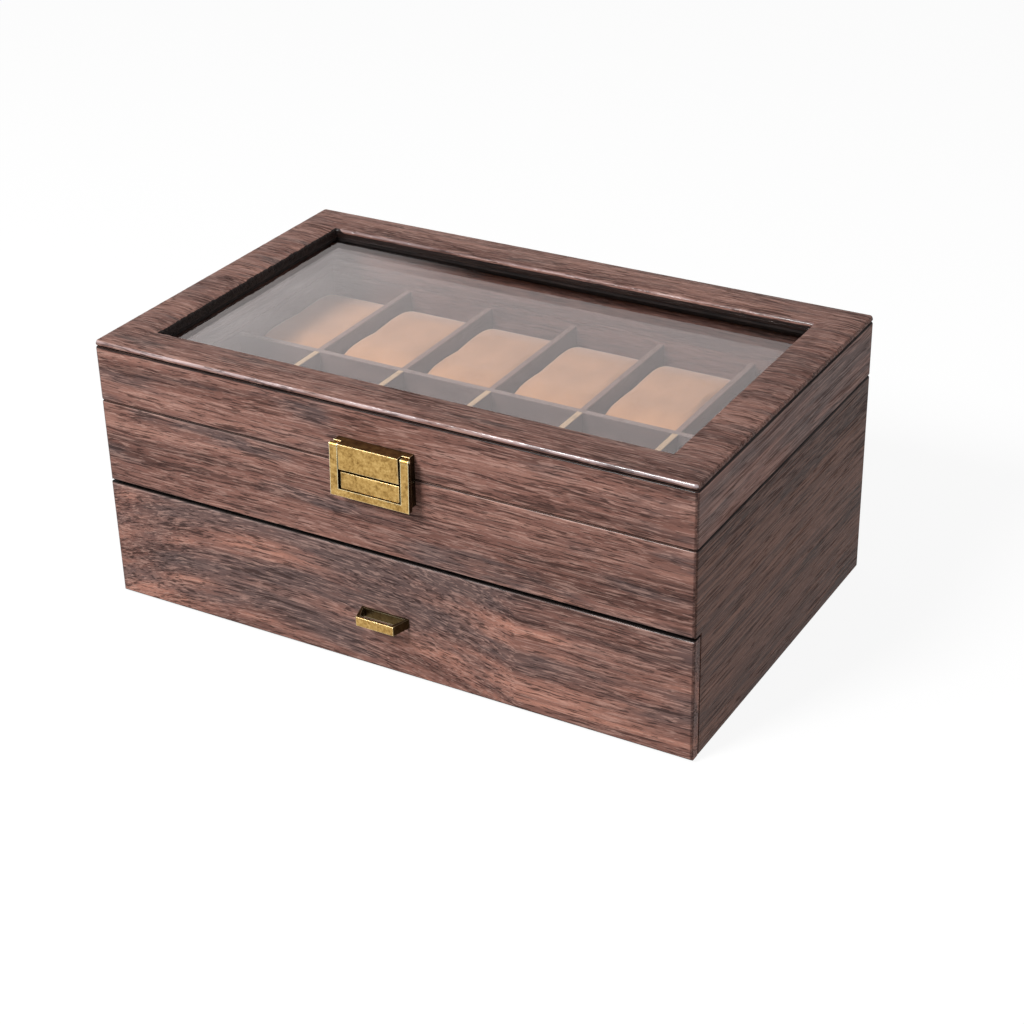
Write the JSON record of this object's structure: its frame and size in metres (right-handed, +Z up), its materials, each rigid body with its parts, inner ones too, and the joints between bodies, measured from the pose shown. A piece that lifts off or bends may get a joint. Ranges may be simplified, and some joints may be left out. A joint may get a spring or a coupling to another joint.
{
  "type": "watch box with drawer",
  "caption": "Watch box with a glazed hinged lid, a divided tray of watch pillows, a drop latch and a full-width drawer with a small pull.",
  "frame": {"origin": "centre of the case's footprint, on the underside of its felt", "axes": "+Z up, +X to the right along the box's width, -Y out of the front with the latch and the drawer"},
  "size_m": [0.34, 0.2252, 0.15],
  "materials": {
    "leatherette": "board wrapped in wood-grain leatherette, satin, embossed pores",
    "dark_board": "near-black wrapped edge of the inner window frame",
    "divider": "card divider wrapped in leatherette, paler worn top edge",
    "suede": "tan suede, fine ribbed nap",
    "tray_lining": "dark brown flock lining",
    "drawer_lining": "dark brown flock lining",
    "felt": "black felt",
    "drawer_board": "drawer board wrapped in dark paper",
    "glass": "clear pane with a soft grey haze",
    "antique_brass": "aged brass, mottled, bright worn edges",
    "brass_hinge": "aged brass, satin",
    "screw": "aged brass screw heads"
  },
  "bodies": {
    "case": {"case_front_panel": "leatherette", "case_back_panel": "leatherette", "case_side_left": "leatherette", "case_side_right": "leatherette", "case_base": "drawer_board", "base_felt": "felt", "tray_deck": "drawer_board", "tray_lining": "tray_lining", "centre_divider": "divider", "cross_divider_1": "divider", "cross_divider_2": "divider", "cross_divider_3": "divider", "cross_divider_4": "divider", "cross_divider_5": "divider", "watch_pillow_1": "suede", "watch_pillow_2": "suede", "watch_pillow_3": "suede", "watch_pillow_4": "suede", "watch_pillow_5": "suede", "watch_pillow_6": "suede", "hinge_leaf_case_left": "brass_hinge", "hinge_leaf_case_right": "brass_hinge", "hinge_pin_left": "brass_hinge", "hinge_pin_right": "brass_hinge", "hinge_screws_case": "screw", "latch_keeper": "antique_brass", "latch_screws_case": "screw"},
    "lid": {"lid_front_wall": "leatherette", "lid_back_wall": "leatherette", "lid_left_wall": "leatherette", "lid_right_wall": "leatherette", "top_frame": "leatherette", "glass_frame": "dark_board", "glass_pane": "glass", "glass_bead_front": "dark_board", "glass_bead_back": "dark_board", "glass_bead_left": "dark_board", "glass_bead_right": "dark_board", "hinge_leaf_lid_left": "brass_hinge", "hinge_leaf_lid_right": "brass_hinge", "hinge_screws_lid": "screw", "latch_upper_plate": "antique_brass", "latch_pin": "antique_brass", "latch_screws_lid": "screw"},
    "latch": {"latch_loop": "antique_brass"},
    "drawer": {"drawer_face": "leatherette", "drawer_inner_front": "drawer_board", "drawer_back": "drawer_board", "drawer_side_left": "drawer_board", "drawer_side_right": "drawer_board", "drawer_bottom": "drawer_board", "drawer_lining": "drawer_lining", "drawer_pull": "antique_brass", "pull_screws": "screw"}
  },
  "joints": [
    {"name": "lid_hinge", "type": "hinge", "parent": "case", "child": "lid", "pos_m": [0, 0.1075, 0.11575], "axis": [-1, 0, 0], "range_deg": [0, 100]},
    {"name": "latch_flip", "type": "hinge", "parent": "lid", "child": "latch", "pos_m": [0, -0.111, 0.12795], "axis": [-1, 0, 0], "range_deg": [0, 110]},
    {"name": "drawer_slide", "type": "slide", "parent": "case", "child": "drawer", "axis": [0, -1, 0], "range_m": [0, 0.15]}
  ]
}
